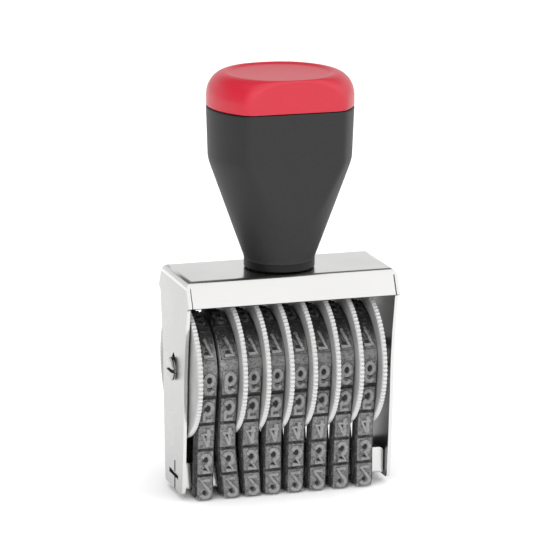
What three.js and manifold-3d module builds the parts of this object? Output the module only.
// Band numbering stamp
// A folded sheet frame carries eight endless rubber number bands. Each band hangs
// on a drum with a serrated thumb disc and runs round a bridge at the foot, so the
// digit under the bridge prints. A turned handle with a cap is screwed on top.
// Millimetres. X runs along the axle, -Y is the front, +Z is up, and Z = 0 is the
// plane of the printing faces.

import * as THREE from "three";
import { mergeVertices } from "three/addons/utils/BufferGeometryUtils.js";
import Module from "manifold-3d";

const wasm = await Module();
wasm.setup();

// Clearances
const GAP = 0.3;
const OVERRUN = 4;
const WELD = 0.0001;

// Sheet frame
const SHEET = 1.0;
const TYPE_STANDOUT = 1.8;
const SIDE_BEND = 2.2;
const TOP_DEPTH = 21.8;
const APRON_BEND = 2.0;
const APRON_TURN_DEG = 64;
const APRON_DROP = 7.1;
const SHOULDER_HALF_DEPTH = 13.6;
const SHOULDER_DROP = 2.6;
const WAIST_HALF_DEPTH = 10.6;
const WAIST_DROP = 38;
const FOOT_HALF_DEPTH = 8.9;
const FOOT_RADIUS = 1.6;
const NOTCH_WIDTH = 3.6;
const NOTCH_REACH = 4.9;
const FOOT_SLIT_WIDTH = 1.1;
const FOOT_SLIT_HEIGHT = 5.7;
const FOOT_SLIT_OFFSET = 1.2;

// Axle
const AXLE_RADIUS = 2.5;
const AXLE_HEAD_RADIUS = 3.45;
const AXLE_HEAD_THICKNESS = 1.2;
const AXLE_HEAD_CHAMFER = 0.4;

// Wheels
const WHEEL_COUNT = 8;
const DISC_RADIUS = 20.4;
const DISC_THICKNESS = 1.4;
const DISC_TEETH = 72;
const TOOTH_DEPTH = 0.6;
const TOOTH_VALLEY_SHARE = 0.5;
const FLUTE_COUNT = 16;
const FLUTE_DEPTH = 0.7;
const FLUTE_MOUTH_SHARE = 0.45;
const FLUTE_FLOOR_SHARE = 0.35;
const SIDE_CLEARANCE = 0.65;
const SPACER_RING_THICKNESS = 0.7;
const SPACER_RING_RADIUS = 5;
const SPACER_SLEEVE_RADIUS = 4.4;
const SPACER_SLEEVE_LENGTH = 3.65;
const HEADROOM = 7.04;
const BRIDGE_HEADROOM = 6.71;

// Number bands
const BAND_WIDTH = 5.05;
const BELT_THICKNESS = 0.9;
const TYPE_HEIGHT = 1.4;
const BAND_WHEEL_RADIUS = 12.15;
const BAND_POSITIONS = 15;
const TYPE_FACE_SHARE = 0.828;
const TYPE_ROOT_SHARE = 0.888;
const WHEEL_ARC_STEPS = 26;
const CORNER_ARC_STEPS = 3;

// Bridge
const BRIDGE_HALF_DEPTH = 6.3;
const BRIDGE_BEND = 1.0;
const BRIDGE_INNER_BEND = 0.4;
const BRIDGE_FLANGE_HEIGHT = 8.1;
const BRIDGE_CORNER_RADIUS = 1.3;
const EAR_HALF_DEPTH = 4.9;
const EAR_HEIGHT = 6.0;
const TONGUE_WIDTH = 8.6;
const TONGUE_THICKNESS = 0.8;
const TONGUE_RISE = 3.1;
const TONGUE_STANDOUT = 0.5;

// Handle
const COLLAR_HEIGHT = 2.0;
const NECK_RADIUS = 10.35;
const FLARE_HEIGHT = 30.0;
const BARREL_RADIUS = 20.65;
const FLARE_STEP = 0.65;
const BARREL_BREAK_HEIGHT = 31.8;
const BARREL_LOW_STEP = 0.3;
const BARREL_LOW_HEIGHT = 34.2;
const BARREL_DRAFT = 0.45;
const SEAM_HEIGHT = 48.0;
const CAP_HEIGHT = 9.6;
const CAP_SHOULDER_WIDTH = 5.7;
const CAP_SHOULDER_DROP = 6.8;
const CAP_DISH_DEPTH = 0.5;
const CAP_LIP_WIDTH = 1.2;
const SPIGOT_RADIUS = 13.5;
const SPIGOT_LENGTH = 3.6;
const FACET_LOW_HEIGHT = 15;
const FACET_LOW_DEPTH = 14.4;
const FACET_HIGH_DEPTH = 15.8;

// Handle screw
const SCREW_RADIUS = 2.3;
const SCREW_LENGTH = 22;
const SCREW_POINT = 1.2;
const SCREW_HEAD_RADIUS = 4.2;
const SCREW_HEAD_HEIGHT = 2.2;
const WASHER_RADIUS = 5.6;
const WASHER_THICKNESS = 0.8;

// Facets of round pieces
const TURNED_SIDES = 48;
const SMALL_SIDES = 20;
const BORE_SIDES = 16;
const BEND_STEPS = 3;
const CAP_ARC_STEPS = 6;

// Finishes
const nickel = new THREE.MeshStandardMaterial({ color: 0xd8d8da, roughness: 0.12, metalness: 1.0 });
const steel = new THREE.MeshStandardMaterial({ color: 0xb9bbbe, roughness: 0.3, metalness: 1.0 });
const discPlastic = new THREE.MeshStandardMaterial({ color: 0xc9cacb, roughness: 0.45, metalness: 0.0 });
const drumPlastic = new THREE.MeshStandardMaterial({ color: 0x2b2c2e, roughness: 0.5, metalness: 0.0 });
const bandRubber = new THREE.MeshStandardMaterial({ color: 0x6e6f71, roughness: 0.75, metalness: 0.0 });
const handlePlastic = new THREE.MeshStandardMaterial({ color: 0x303032, roughness: 0.5, metalness: 0.0 });
const capPlastic = new THREE.MeshStandardMaterial({ color: 0xd11a2e, roughness: 0.3, metalness: 0.0 });

// Places worked out from the sizes
const boreRadius = AXLE_RADIUS + GAP;
const bandThickness = BELT_THICKNESS + TYPE_HEIGHT;
const bridgeFloorZ = bandThickness + GAP;
const axleZ = bridgeFloorZ + BRIDGE_FLANGE_HEIGHT + BRIDGE_HEADROOM + DISC_RADIUS;
const topZ = axleZ + DISC_RADIUS + HEADROOM + SHEET;
const screwHoleRadius = SCREW_RADIUS + GAP;
const bodyBaseZ = topZ + COLLAR_HEIGHT + 2 * GAP;
const seamZ = topZ + SEAM_HEIGHT;
const barrelLowRadius = BARREL_RADIUS + BARREL_LOW_STEP;
const seamRadius = barrelLowRadius + BARREL_DRAFT;
const wheelStep = DISC_THICKNESS + GAP + BAND_WIDTH + GAP;
const wheelsWidth = WHEEL_COUNT * wheelStep + SPACER_RING_THICKNESS;
const insideWidth = SIDE_CLEARANCE + wheelsWidth + GAP + SPACER_SLEEVE_LENGTH + GAP;
const plateInnerX = insideWidth / 2;
const plateOuterX = plateInnerX + SHEET;
const firstDiscX = -plateInnerX + SIDE_CLEARANCE;
const firstBandX = firstDiscX + DISC_THICKNESS + GAP;
const spacerRingX = firstBandX + BAND_WIDTH + GAP;
const secondBandX = spacerRingX + SPACER_RING_THICKNESS + GAP;

// Left face of each band, counted from 0 at the left
function bandX(index) {
  return index === 0 ? firstBandX : secondBandX + (index - 1) * wheelStep;
}

// Left face of each thumb disc: the first lies left of its band, the others right
function discX(index) {
  return index === 0 ? firstDiscX : bandX(index) + BAND_WIDTH + GAP;
}

// Solids are welded closed meshes
function toSolid(geometry) {
  geometry.deleteAttribute("normal");
  geometry.deleteAttribute("uv");
  const welded = mergeVertices(geometry, WELD);
  const index = welded.index.array;
  const triangles = [];
  for (let i = 0; i < index.length; i += 3) {
    const [a, b, c] = [index[i], index[i + 1], index[i + 2]];
    if (a !== b && b !== c && c !== a) triangles.push(a, b, c);
  }
  const vertProperties = new Float32Array(welded.attributes.position.array);
  const triVerts = new Uint32Array(triangles);
  return new wasm.Manifold(new wasm.Mesh({ numProp: 3, vertProperties, triVerts }));
}

function toMesh(name, solid, material) {
  const data = solid.getMesh();
  const geometry = new THREE.BufferGeometry();
  geometry.setAttribute("position", new THREE.BufferAttribute(new Float32Array(data.vertProperties), 3));
  geometry.setIndex(new THREE.BufferAttribute(new Uint32Array(data.triVerts), 1));
  geometry.computeVertexNormals();
  const mesh = new THREE.Mesh(geometry, material);
  mesh.name = name;
  return mesh;
}

// Extrusions of an outline along one axis
const ALONG_X = [new THREE.Vector3(0, 1, 0), new THREE.Vector3(0, 0, 1), new THREE.Vector3(1, 0, 0)];
const ALONG_Y = [new THREE.Vector3(1, 0, 0), new THREE.Vector3(0, 0, 1), new THREE.Vector3(0, -1, 0)];

function extrude(shape, axes, start, end, curveSegments = BEND_STEPS) {
  const options = { depth: end - start, bevelEnabled: false, curveSegments };
  const geometry = new THREE.ExtrudeGeometry(shape, options);
  geometry.translate(0, 0, start);
  geometry.applyMatrix4(new THREE.Matrix4().makeBasis(...axes));
  return toSolid(geometry);
}

function boxBetween(x0, x1, y0, y1, z0, z1) {
  const geometry = new THREE.BoxGeometry(x1 - x0, y1 - y0, z1 - z0);
  geometry.translate((x0 + x1) / 2, (y0 + y1) / 2, (z0 + z1) / 2);
  return toSolid(geometry);
}

function rod(radius, x0, x1, sides = SMALL_SIDES) {
  const geometry = new THREE.CylinderGeometry(radius, radius, x1 - x0, sides);
  geometry.rotateZ(-Math.PI / 2);
  geometry.translate((x0 + x1) / 2, 0, axleZ);
  return toSolid(geometry);
}

// Pieces turned about the handle's upright axis or about the axle
function turned(profile, sides) {
  const points = profile.map(([radius, height]) => new THREE.Vector2(radius, height));
  const geometry = new THREE.LatheGeometry(points, sides);
  geometry.rotateX(Math.PI / 2);
  return toSolid(geometry);
}

function turnedOnAxle(profile, sides) {
  const points = profile.map(([radius, x]) => new THREE.Vector2(radius, x));
  const geometry = new THREE.LatheGeometry(points, sides);
  geometry.rotateZ(-Math.PI / 2);
  geometry.translate(0, 0, axleZ);
  return toSolid(geometry);
}

function uprightHole(radius, z0, z1) {
  return turned([[0, z0], [radius, z0], [radius, z1], [0, z1]], SMALL_SIDES);
}

// Frame: lower edge of an apron, on its outer or its inner face
const apronTurn = THREE.MathUtils.degToRad(APRON_TURN_DEG);
function apronEdge(side, radius) {
  const run = (APRON_DROP - APRON_BEND * (1 - Math.cos(apronTurn))) / Math.sin(apronTurn);
  return new THREE.Vector2(
    side * (TOP_DEPTH / 2 + radius * Math.sin(apronTurn) + run * Math.cos(apronTurn)),
    topZ - APRON_BEND + radius * Math.cos(apronTurn) - run * Math.sin(apronTurn),
  );
}

// Frame: roof and aprons folded from the top plate
function roofOutline() {
  const flat = TOP_DEPTH / 2;
  const innerBend = APRON_BEND - SHEET;
  const bendZ = topZ - APRON_BEND;
  const shape = new THREE.Shape();
  shape.moveTo(...apronEdge(1, innerBend));
  shape.lineTo(...apronEdge(1, APRON_BEND));
  shape.absarc(flat, bendZ, APRON_BEND, Math.PI / 2 - apronTurn, Math.PI / 2, false);
  shape.absarc(-flat, bendZ, APRON_BEND, Math.PI / 2, Math.PI / 2 + apronTurn, false);
  shape.lineTo(...apronEdge(-1, APRON_BEND));
  shape.lineTo(...apronEdge(-1, innerBend));
  shape.absarc(-flat, bendZ, innerBend, Math.PI / 2 + apronTurn, Math.PI / 2, true);
  shape.absarc(flat, bendZ, innerBend, Math.PI / 2, Math.PI / 2 - apronTurn, true);
  return shape;
}

// Frame: end view of the folded sheet, an arch with rounded shoulders
function archOutline(inset, bend, footZ) {
  const half = plateOuterX - inset;
  const crown = topZ - inset;
  const shape = new THREE.Shape();
  shape.moveTo(half, footZ);
  shape.lineTo(half, crown - bend);
  shape.absarc(half - bend, crown - bend, bend, 0, Math.PI / 2, false);
  shape.absarc(-half + bend, crown - bend, bend, Math.PI / 2, Math.PI, false);
  shape.lineTo(-half, footZ);
  return shape;
}

// Frame: side view of a side plate, filled up to the aprons and cut back below them
function sideOutline() {
  const flat = TOP_DEPTH / 2;
  const midBend = APRON_BEND - SHEET / 2;
  const bendZ = topZ - APRON_BEND;
  const waistZ = topZ - WAIST_DROP;
  const footZ = TYPE_STANDOUT;
  const straightZ = footZ + FOOT_RADIUS;
  const earZ = apronEdge(1, midBend).y;
  const shoulderZ = earZ - SHOULDER_DROP;
  const easeZ = (shoulderZ + waistZ) / 2;
  const shape = new THREE.Shape();
  shape.moveTo(...apronEdge(1, midBend));
  shape.absarc(flat, bendZ, midBend, Math.PI / 2 - apronTurn, Math.PI / 2, false);
  shape.absarc(-flat, bendZ, midBend, Math.PI / 2, Math.PI / 2 + apronTurn, false);
  shape.lineTo(...apronEdge(-1, midBend));
  shape.quadraticCurveTo(-SHOULDER_HALF_DEPTH, earZ, -SHOULDER_HALF_DEPTH, shoulderZ);
  shape.quadraticCurveTo(-WAIST_HALF_DEPTH, easeZ, -WAIST_HALF_DEPTH, waistZ);
  shape.lineTo(-FOOT_HALF_DEPTH, straightZ);
  shape.absarc(-FOOT_HALF_DEPTH + FOOT_RADIUS, straightZ, FOOT_RADIUS, Math.PI, 1.5 * Math.PI, false);
  shape.absarc(FOOT_HALF_DEPTH - FOOT_RADIUS, straightZ, FOOT_RADIUS, 1.5 * Math.PI, 2 * Math.PI, false);
  shape.lineTo(WAIST_HALF_DEPTH, waistZ);
  shape.quadraticCurveTo(WAIST_HALF_DEPTH, easeZ, SHOULDER_HALF_DEPTH, shoulderZ);
  shape.quadraticCurveTo(SHOULDER_HALF_DEPTH, earZ, ...apronEdge(1, midBend));
  return shape;
}

// Frame: cut for the axle with a notch above it
function axleNotch() {
  const shape = new THREE.Shape();
  shape.moveTo(-NOTCH_WIDTH / 2, axleZ);
  shape.lineTo(NOTCH_WIDTH / 2, axleZ);
  shape.lineTo(0, axleZ + NOTCH_REACH);
  return shape;
}

function makeFrame() {
  const depth = TOP_DEPTH + 2 * APRON_DROP + OVERRUN;
  const reach = plateOuterX + OVERRUN;
  const tall = extrude(archOutline(0, SIDE_BEND, TYPE_STANDOUT), ALONG_Y, -depth / 2, depth / 2);
  const hollow = extrude(archOutline(SHEET, SIDE_BEND - SHEET, -OVERRUN), ALONG_Y, -depth, depth);
  const plates = tall.subtract(hollow).intersect(extrude(sideOutline(), ALONG_X, -reach, reach));
  const roof = extrude(roofOutline(), ALONG_X, -reach, reach).intersect(tall);
  const tongueZ = bridgeFloorZ + TONGUE_RISE;
  const slotHalf = TONGUE_WIDTH / 2 + GAP;
  const slotTopZ = tongueZ + TONGUE_THICKNESS + GAP;
  const slot = boxBetween(-reach, reach, -slotHalf, slotHalf, tongueZ - GAP, slotTopZ);
  const slitFrontY = -FOOT_SLIT_OFFSET - FOOT_SLIT_WIDTH / 2;
  const slitTopZ = TYPE_STANDOUT + FOOT_SLIT_HEIGHT;
  const slit = boxBetween(-reach, reach, slitFrontY, slitFrontY + FOOT_SLIT_WIDTH, -OVERRUN, slitTopZ);
  return roof.add(plates)
    .subtract(rod(boreRadius, -reach, reach))
    .subtract(extrude(axleNotch(), ALONG_X, -reach, reach))
    .subtract(slot)
    .subtract(slit)
    .subtract(uprightHole(screwHoleRadius, topZ - SHEET - OVERRUN, topZ + OVERRUN));
}

function ringOnAxle(radius, x0, x1) {
  return rod(radius, x0, x1).subtract(rod(boreRadius, x0 - OVERRUN, x1 + OVERRUN, BORE_SIDES));
}

// Axle with a chamfered head at the left; a ring holds its right end
function makeAxle() {
  const seatX = -plateOuterX - GAP;
  const headX = seatX - AXLE_HEAD_THICKNESS;
  const endX = plateOuterX + GAP + AXLE_HEAD_THICKNESS;
  return turnedOnAxle([
    [0, headX],
    [AXLE_HEAD_RADIUS - AXLE_HEAD_CHAMFER, headX],
    [AXLE_HEAD_RADIUS, headX + AXLE_HEAD_CHAMFER],
    [AXLE_HEAD_RADIUS, seatX],
    [AXLE_RADIUS, seatX],
    [AXLE_RADIUS, endX],
    [0, endX],
  ], SMALL_SIDES);
}

// Round outline about the axle whose edge repeats the given corners
function repeatedOutline(count, corners) {
  const points = [];
  for (let step = 0; step < count; step += 1) {
    for (const [radius, share] of corners) {
      const angle = 2 * Math.PI * (step + share) / count;
      points.push(new THREE.Vector2(radius * Math.cos(angle), axleZ + radius * Math.sin(angle)));
    }
  }
  return new THREE.Shape(points);
}

function withBore(shape) {
  const bore = new THREE.Path();
  bore.absarc(0, axleZ, boreRadius, 0, 2 * Math.PI, true);
  shape.holes.push(bore);
  return shape;
}

// Serrated disc that the thumb turns
function makeThumbDisc(index) {
  const corners = [[DISC_RADIUS, 0], [DISC_RADIUS - TOOTH_DEPTH, TOOTH_VALLEY_SHARE]];
  const outline = withBore(repeatedOutline(DISC_TEETH, corners));
  return extrude(outline, ALONG_X, discX(index), discX(index) + DISC_THICKNESS, BORE_SIDES / 2);
}

// Fluted drum that carries and drives the band
function makeDrum(index) {
  const radius = BAND_WHEEL_RADIUS - GAP;
  const corners = [
    [radius, 0],
    [radius, 1 - FLUTE_MOUTH_SHARE],
    [radius - FLUTE_DEPTH, 1 - FLUTE_FLOOR_SHARE],
    [radius - FLUTE_DEPTH, 1 - FLUTE_MOUTH_SHARE + FLUTE_FLOOR_SHARE],
  ];
  const outline = withBore(repeatedOutline(FLUTE_COUNT, corners));
  return extrude(outline, ALONG_X, bandX(index), bandX(index) + BAND_WIDTH, BORE_SIDES / 2);
}

// The band's path: a closed belt over the drum and round the two lower corners of
// the bridge. It is followed along the belt's middle, from under the bridge's
// centre forward, up the front, over the drum and down the rear.
const beltPath = (() => {
  const halfBelt = BELT_THICKNESS / 2;
  const bend = BRIDGE_BEND + GAP + halfBelt;
  const cornerY = BRIDGE_HALF_DEPTH - BRIDGE_BEND;
  const cornerZ = bridgeFloorZ + BRIDGE_BEND;
  const wheel = BAND_WHEEL_RADIUS + halfBelt;
  const span = Math.hypot(cornerY, axleZ - cornerZ);
  const lean = Math.asin((wheel - bend) / span) - Math.atan2(cornerY, axleZ - cornerZ);
  const strand = Math.sqrt(span ** 2 - (wheel - bend) ** 2);
  const cornerArc = bend * (Math.PI / 2 - lean);
  const wheelArc = wheel * (Math.PI + 2 * lean);
  return { bend, cornerY, cornerZ, wheel, lean, strand, cornerArc, wheelArc };
})();
const halfPath = beltPath.cornerY + beltPath.cornerArc + beltPath.strand + beltPath.wheelArc / 2;
const typePitch = 2 * halfPath / BAND_POSITIONS;

// Point, outward direction and travel direction at a distance along the front half
function frontFrame(distance) {
  const { bend, cornerY, cornerZ, wheel, lean, strand, cornerArc } = beltPath;
  const along = (angle) => [-Math.cos(angle), Math.sin(angle)];
  const place = (y, z, [outY, outZ], radius, travel = 0) => ({
    y: y + outY * radius + outZ * travel,
    z: z + outZ * radius - outY * travel,
    out: [outY, outZ],
    forward: [outZ, -outY],
  });
  if (distance <= cornerY) return place(-distance, cornerZ, along(-Math.PI / 2), bend);
  const pastFloor = distance - cornerY;
  if (pastFloor <= cornerArc) return place(-cornerY, cornerZ, along(pastFloor / bend - Math.PI / 2), bend);
  const pastCorner = pastFloor - cornerArc;
  if (pastCorner <= strand) return place(-cornerY, cornerZ, along(-lean), bend, pastCorner);
  return place(0, axleZ, along((pastCorner - strand) / wheel - lean), wheel);
}

// The rear half mirrors the front half
function beltFrame(distance) {
  const loop = 2 * halfPath;
  const wrapped = ((distance % loop) + loop) % loop;
  if (wrapped <= halfPath) return frontFrame(wrapped);
  const { y, z, out, forward } = frontFrame(loop - wrapped);
  return { y: -y, z, out: [-out[0], out[1]], forward: [forward[0], -forward[1]] };
}

function besideBelt(distance, outward, ahead = 0) {
  const { y, z, out, forward } = beltFrame(distance);
  return new THREE.Vector2(
    y + out[0] * outward + forward[0] * ahead,
    z + out[1] * outward + forward[1] * ahead,
  );
}

// Side view of a band: flat type blocks standing on the belt
function bandOutline() {
  const faceOut = TYPE_HEIGHT + BELT_THICKNESS / 2;
  const halfFace = TYPE_FACE_SHARE * typePitch / 2;
  const halfRoot = TYPE_ROOT_SHARE * typePitch / 2;
  const points = [];
  for (let position = 0; position < BAND_POSITIONS; position += 1) {
    const middle = position * typePitch;
    points.push(
      besideBelt(middle - halfRoot, BELT_THICKNESS / 2),
      besideBelt(middle, faceOut, -halfFace),
      besideBelt(middle, faceOut, halfFace),
      besideBelt(middle + halfRoot, BELT_THICKNESS / 2),
    );
  }
  const shape = new THREE.Shape(points);
  shape.holes.push(new THREE.Path(beltInside().reverse()));
  return shape;
}

// Inside line of the belt, with points only where it bends
function beltInside() {
  const { cornerY, cornerArc, strand, wheelArc } = beltPath;
  const stops = [];
  for (let step = 0; step <= CORNER_ARC_STEPS; step += 1) {
    stops.push(cornerY + cornerArc * step / CORNER_ARC_STEPS);
  }
  for (let step = 0; step <= WHEEL_ARC_STEPS; step += 1) {
    stops.push(cornerY + cornerArc + strand + wheelArc * step / WHEEL_ARC_STEPS);
  }
  for (let step = 0; step <= CORNER_ARC_STEPS; step += 1) {
    stops.push(2 * halfPath - cornerY - cornerArc * (1 - step / CORNER_ARC_STEPS));
  }
  return stops.map((distance) => besideBelt(distance, -BELT_THICKNESS / 2));
}

function makeBand(index) {
  return extrude(bandOutline(), ALONG_X, bandX(index), bandX(index) + BAND_WIDTH);
}

// Bridge: a folded pan between the feet, whose floor backs the printing type
function channelOutline() {
  const outer = BRIDGE_HALF_DEPTH;
  const inner = outer - SHEET;
  const rimZ = bridgeFloorZ + BRIDGE_FLANGE_HEIGHT;
  const outerBendZ = bridgeFloorZ + BRIDGE_BEND;
  const innerBendZ = bridgeFloorZ + SHEET + BRIDGE_INNER_BEND;
  const shape = new THREE.Shape();
  shape.moveTo(outer, rimZ);
  shape.lineTo(inner, rimZ);
  shape.absarc(inner - BRIDGE_INNER_BEND, innerBendZ, BRIDGE_INNER_BEND, 0, -Math.PI / 2, true);
  shape.absarc(-inner + BRIDGE_INNER_BEND, innerBendZ, BRIDGE_INNER_BEND, -Math.PI / 2, -Math.PI, true);
  shape.lineTo(-inner, rimZ);
  shape.lineTo(-outer, rimZ);
  shape.absarc(-outer + BRIDGE_BEND, outerBendZ, BRIDGE_BEND, -Math.PI, -Math.PI / 2, false);
  shape.absarc(outer - BRIDGE_BEND, outerBendZ, BRIDGE_BEND, -Math.PI / 2, 0, false);
  return shape;
}

// Bridge: front view with rounded upper corners
function bridgeFrontOutline() {
  const half = plateInnerX - GAP;
  const rimZ = bridgeFloorZ + BRIDGE_FLANGE_HEIGHT;
  const cornerZ = rimZ - BRIDGE_CORNER_RADIUS;
  const shape = new THREE.Shape();
  shape.moveTo(-half, bridgeFloorZ - OVERRUN);
  shape.lineTo(half, bridgeFloorZ - OVERRUN);
  shape.absarc(half - BRIDGE_CORNER_RADIUS, cornerZ, BRIDGE_CORNER_RADIUS, 0, Math.PI / 2, false);
  shape.absarc(-half + BRIDGE_CORNER_RADIUS, cornerZ, BRIDGE_CORNER_RADIUS, Math.PI / 2, Math.PI, false);
  return shape;
}

function makeBridge() {
  const half = plateInnerX - GAP;
  const reach = half + OVERRUN;
  const channel = extrude(channelOutline(), ALONG_X, -reach, reach)
    .intersect(extrude(bridgeFrontOutline(), ALONG_Y, -reach, reach));
  const earTopZ = bridgeFloorZ + EAR_HEIGHT;
  const tongueZ = bridgeFloorZ + TONGUE_RISE;
  const tongueX = plateOuterX + TONGUE_STANDOUT;
  const halfTongue = TONGUE_WIDTH / 2;
  let bridge = channel;
  const sides = [
    { earX: -half, tongueFromX: -tongueX, tongueToX: -half + SHEET },
    { earX: half - SHEET, tongueFromX: half - SHEET, tongueToX: tongueX },
  ];
  for (const { earX, tongueFromX, tongueToX } of sides) {
    const ear = boxBetween(earX, earX + SHEET, -EAR_HALF_DEPTH, EAR_HALF_DEPTH, bridgeFloorZ, earTopZ);
    const tongueTopZ = tongueZ + TONGUE_THICKNESS;
    const tongue = boxBetween(tongueFromX, tongueToX, -halfTongue, halfTongue, tongueZ, tongueTopZ);
    bridge = bridge.add(ear).add(tongue);
  }
  return bridge;
}

// Handle: the two flats that run up the barrel and over the cap
function flatCutter(side) {
  const rise = SEAM_HEIGHT - FACET_LOW_HEIGHT;
  const draft = (FACET_HIGH_DEPTH - FACET_LOW_DEPTH) / rise;
  const depthAt = (height) => side * (FACET_LOW_DEPTH + draft * (height - FACET_LOW_HEIGHT));
  const highest = SEAM_HEIGHT + CAP_HEIGHT + OVERRUN;
  const far = side * (seamRadius + OVERRUN);
  const shape = new THREE.Shape([
    new THREE.Vector2(depthAt(0), topZ),
    new THREE.Vector2(depthAt(highest), topZ + highest),
    new THREE.Vector2(far, topZ + highest),
    new THREE.Vector2(far, topZ),
  ]);
  const reach = seamRadius + OVERRUN;
  return extrude(shape, ALONG_X, -reach, reach);
}

function withFlats(solid) {
  return solid.subtract(flatCutter(-1)).subtract(flatCutter(1));
}

function makeHandleBody() {
  const profile = [
    [0, bodyBaseZ],
    [NECK_RADIUS, bodyBaseZ],
    [BARREL_RADIUS - FLARE_STEP, topZ + FLARE_HEIGHT],
    [BARREL_RADIUS, topZ + BARREL_BREAK_HEIGHT],
    [barrelLowRadius, topZ + BARREL_LOW_HEIGHT],
    [seamRadius, seamZ - GAP],
    [0, seamZ - GAP],
  ];
  const screwBore = uprightHole(screwHoleRadius, bodyBaseZ - OVERRUN, topZ + SCREW_LENGTH + GAP);
  const socket = uprightHole(SPIGOT_RADIUS + GAP, seamZ - SPIGOT_LENGTH - GAP, seamZ + OVERRUN);
  return withFlats(turned(profile, TURNED_SIDES)).subtract(screwBore).subtract(socket);
}

// Cap: a rounded lid with a dished top, held by a spigot
function makeHandleCap() {
  const crownZ = seamZ + CAP_HEIGHT;
  const topRadius = seamRadius - CAP_SHOULDER_WIDTH;
  const profile = [
    [0, seamZ - SPIGOT_LENGTH],
    [SPIGOT_RADIUS, seamZ - SPIGOT_LENGTH],
    [SPIGOT_RADIUS, seamZ],
    [seamRadius, seamZ],
  ];
  for (let step = 0; step <= CAP_ARC_STEPS; step += 1) {
    const angle = step / CAP_ARC_STEPS * Math.PI / 2;
    profile.push([
      topRadius + CAP_SHOULDER_WIDTH * Math.cos(angle),
      crownZ - CAP_SHOULDER_DROP * (1 - Math.sin(angle)),
    ]);
  }
  profile.push([topRadius - CAP_LIP_WIDTH, crownZ - CAP_DISH_DEPTH]);
  profile.push([0, crownZ - CAP_DISH_DEPTH]);
  return withFlats(turned(profile, TURNED_SIDES));
}

// Collar between the frame and the handle
function makeCollar() {
  const profile = [
    [screwHoleRadius, topZ + GAP],
    [NECK_RADIUS, topZ + GAP],
    [NECK_RADIUS, topZ + GAP + COLLAR_HEIGHT],
    [screwHoleRadius, topZ + GAP + COLLAR_HEIGHT],
    [screwHoleRadius, topZ + GAP],
  ];
  return turned(profile, TURNED_SIDES);
}

// Screw that draws the handle down on the top plate, with its washer below
function makeHandleScrew() {
  const seatZ = topZ - SHEET - GAP - WASHER_THICKNESS - GAP;
  return turned([
    [0, seatZ - SCREW_HEAD_HEIGHT],
    [SCREW_HEAD_RADIUS, seatZ - SCREW_HEAD_HEIGHT],
    [SCREW_HEAD_RADIUS, seatZ],
    [SCREW_RADIUS, seatZ],
    [SCREW_RADIUS, topZ + SCREW_LENGTH - SCREW_POINT],
    [SCREW_RADIUS - SCREW_POINT, topZ + SCREW_LENGTH],
    [0, topZ + SCREW_LENGTH],
  ], SMALL_SIDES);
}

function makeScrewWasher() {
  const upperZ = topZ - SHEET - GAP;
  const lowerZ = upperZ - WASHER_THICKNESS;
  return turned([
    [screwHoleRadius, lowerZ],
    [WASHER_RADIUS, lowerZ],
    [WASHER_RADIUS, upperZ],
    [screwHoleRadius, upperZ],
    [screwHoleRadius, lowerZ],
  ], SMALL_SIDES);
}

// Spacers on the axle: a thin ring between the first two drums, a sleeve at the right
function makeSpacerRing() {
  return ringOnAxle(SPACER_RING_RADIUS, spacerRingX, spacerRingX + SPACER_RING_THICKNESS);
}

function makeSpacerSleeve() {
  const lastDiscX = discX(WHEEL_COUNT - 1) + DISC_THICKNESS;
  return ringOnAxle(SPACER_SLEEVE_RADIUS, lastDiscX + GAP, plateInnerX - GAP);
}

function makeAxleRing() {
  const start = plateOuterX + GAP;
  return ringOnAxle(AXLE_HEAD_RADIUS, start, start + AXLE_HEAD_THICKNESS);
}

// Assembly: the fixed pieces, then the wheels and their bands from left to right
const stamp = new THREE.Group();
stamp.add(
  toMesh("frame", makeFrame(), nickel),
  toMesh("bridge", makeBridge(), nickel),
  toMesh("axle", makeAxle(), steel),
  toMesh("axle_ring", makeAxleRing(), steel),
  toMesh("spacer_ring", makeSpacerRing(), steel),
  toMesh("spacer_sleeve", makeSpacerSleeve(), steel),
  toMesh("handle_collar", makeCollar(), handlePlastic),
  toMesh("handle_body", makeHandleBody(), handlePlastic),
  toMesh("handle_cap", makeHandleCap(), capPlastic),
  toMesh("handle_screw", makeHandleScrew(), steel),
  toMesh("screw_washer", makeScrewWasher(), steel),
);
for (let index = 0; index < WHEEL_COUNT; index += 1) {
  stamp.add(
    toMesh(`thumb_disc_${index + 1}`, makeThumbDisc(index), discPlastic),
    toMesh(`drum_${index + 1}`, makeDrum(index), drumPlastic),
    toMesh(`number_band_${index + 1}`, makeBand(index), bandRubber),
  );
}

export default stamp;
